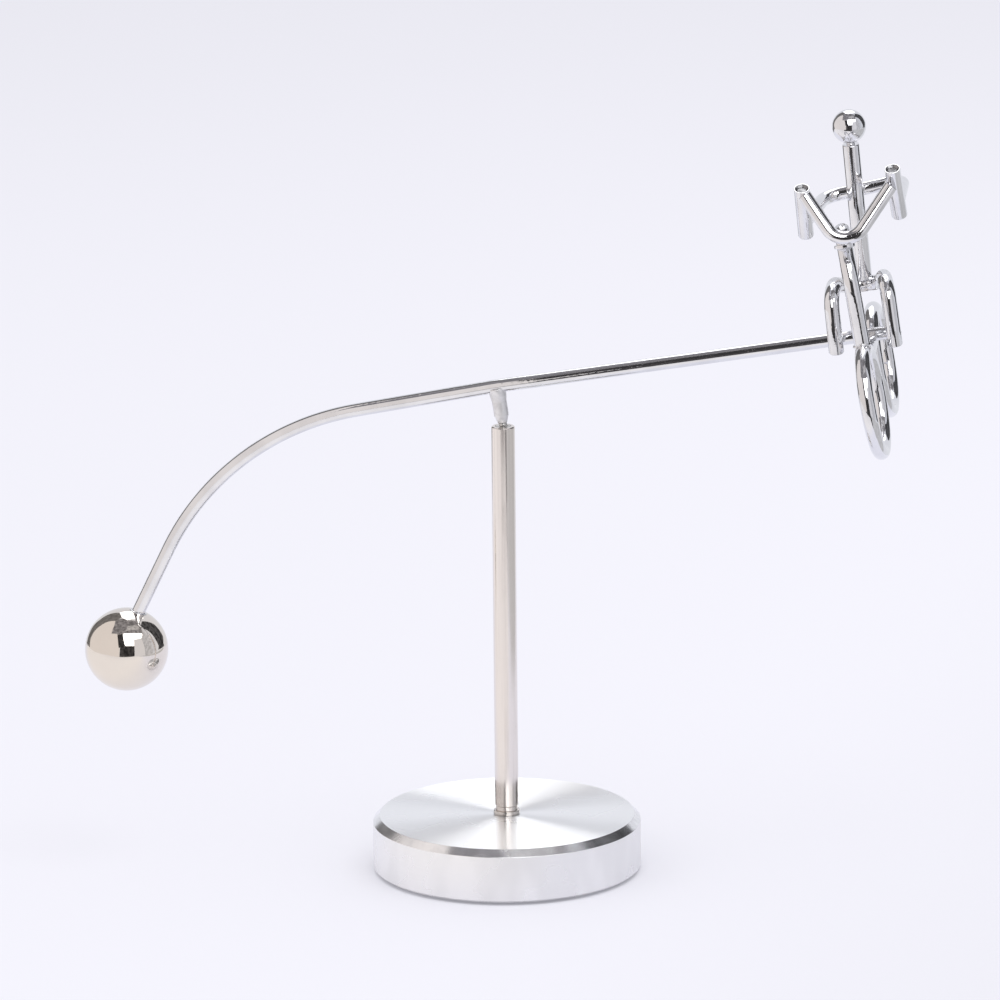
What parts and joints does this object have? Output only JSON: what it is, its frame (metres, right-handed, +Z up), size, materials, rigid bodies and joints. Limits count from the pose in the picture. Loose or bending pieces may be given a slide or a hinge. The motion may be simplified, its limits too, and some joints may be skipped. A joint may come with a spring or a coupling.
{
  "type": "balancing desk toy",
  "caption": "Chrome balancing toy: a bent beam with a ball counterweight and a wire cyclist rocks and turns on a point at the top of a slim post on a round base.",
  "frame": {"origin": "centre of the pad's underside, on the surface that the toy stands on", "axes": "+Z up along the post, +X from the post towards the bicycle, +Y towards the bicycle's rear wheel"},
  "size_m": [0.2458, 0.087, 0.2301],
  "materials": {
    "base_metal": "turned top, satin side",
    "post_metal": "polished, drawn along its length",
    "wire_chrome": "polished",
    "ball_chrome": "polished",
    "pivot_steel": "ground",
    "pad_rubber": "matt",
    "screw_steel": "plain"
  },
  "bodies": {
    "stand": {"base_disc": "base_metal", "base_pad": "pad_rubber", "base_screw": "screw_steel", "foot_ring": "post_metal", "post": "post_metal"},
    "seat": {"pivot_cup": "pivot_steel"},
    "point": {"pivot_ball": "pivot_steel"},
    "arm": {"beam_rod": "wire_chrome", "pivot_peg": "wire_chrome", "counterweight_ball": "ball_chrome", "front_wheel": "wire_chrome", "rear_wheel": "wire_chrome", "frame_bar": "wire_chrome", "steering_tube": "wire_chrome", "stem_ring": "wire_chrome", "handlebar": "wire_chrome", "grip_left": "wire_chrome", "grip_right": "wire_chrome", "torso": "wire_chrome", "head_ball": "ball_chrome", "arms": "wire_chrome", "legs": "wire_chrome"}
  },
  "joints": [
    {"name": "spin", "type": "hinge", "parent": "stand", "child": "seat", "pos_m": [0, 0, 0.1362], "axis": [0, 0, 1], "continuous": true},
    {"name": "rock", "type": "hinge", "parent": "seat", "child": "point", "pos_m": [0, 0, 0.1362], "axis": [0, 1, 0], "range_deg": [-20, 35]},
    {"name": "roll", "type": "hinge", "parent": "point", "child": "arm", "pos_m": [0, 0, 0.1362], "axis": [1, 0, 0], "range_deg": [-20, 20]}
  ]
}
